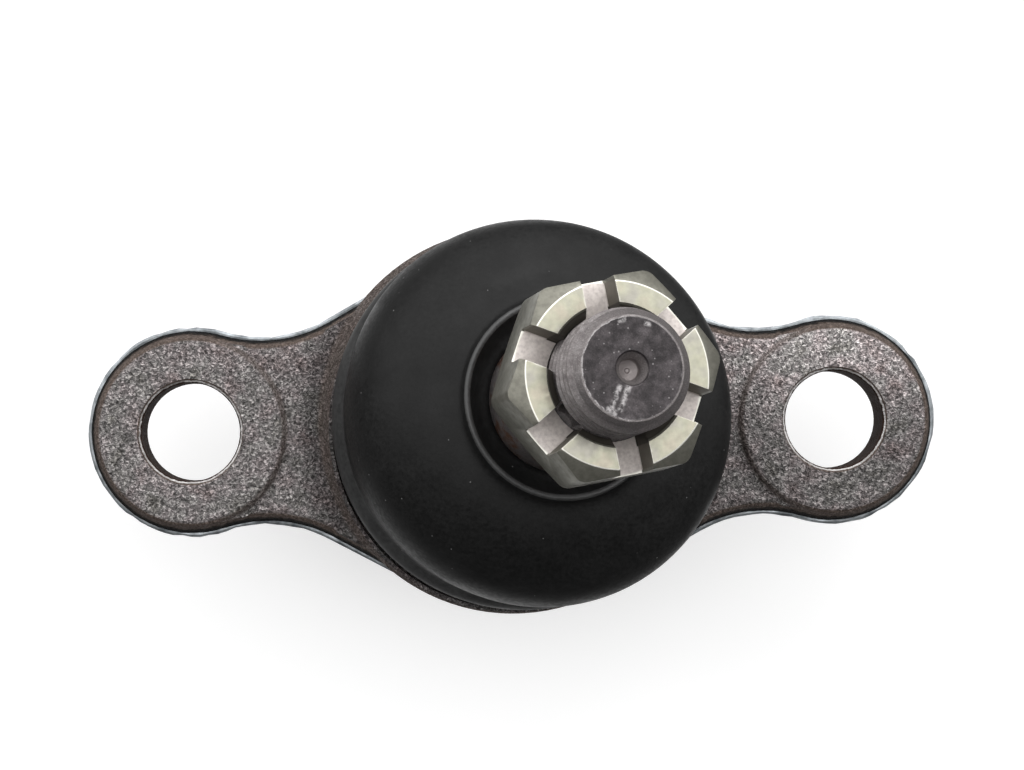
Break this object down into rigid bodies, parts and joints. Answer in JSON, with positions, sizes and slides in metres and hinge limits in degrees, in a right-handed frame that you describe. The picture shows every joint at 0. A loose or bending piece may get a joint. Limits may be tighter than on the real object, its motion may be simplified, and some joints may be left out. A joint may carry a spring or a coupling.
{
  "type": "suspension ball joint",
  "caption": "Suspension ball joint: forged two-lug housing, leaning tapered ball stud with slotted nut, and a rubber dust boot.",
  "frame": {"origin": "midway between the two lug bolt holes, on the mounting face under the lugs", "axes": "+X along the line of the two bolt holes, +Z out of the stud side, square to the mounting face"},
  "size_m": [0.1054, 0.0486, 0.0737],
  "materials": {
    "forged_steel": "shot-blasted dark forging, machined faces",
    "stud_steel": "dark oiled machined steel",
    "plated_nut": "yellow-green passivated zinc plate",
    "boot_rubber": "semi-matte moulded",
    "seat_plastic": "natural acetal",
    "spring_steel": "plain"
  },
  "bodies": {
    "housing": {"housing": "forged_steel", "upper_seat": "seat_plastic", "lower_seat": "seat_plastic", "preload_spring": "spring_steel", "bottom_cover": "forged_steel", "boot_base_ring": "spring_steel"},
    "boot": {"dust_boot": "boot_rubber"},
    "boot_lip": {"boot_lip_ring": "spring_steel"},
    "stud": {"ball_stud": "stud_steel", "castle_nut": "plated_nut"}
  },
  "joints": [
    {"name": "swing_x", "type": "hinge", "parent": "housing", "child": "boot", "pos_m": [0, 0.0006, 0.0045], "axis": [0, 1, 0], "range_deg": [-31, 5], "deforming": ["dust_boot"]},
    {"name": "swing_y", "type": "hinge", "parent": "boot", "child": "boot_lip", "pos_m": [0, 0.0006, 0.0045], "axis": [-0.9744, 0, 0.225], "range_deg": [-23.75, 12.25]},
    {"name": "stud_spin", "type": "hinge", "parent": "boot_lip", "child": "stud", "pos_m": [0, 0.0006, 0.0045], "axis": [0.2238, 0.1002, 0.9695], "continuous": true}
  ]
}
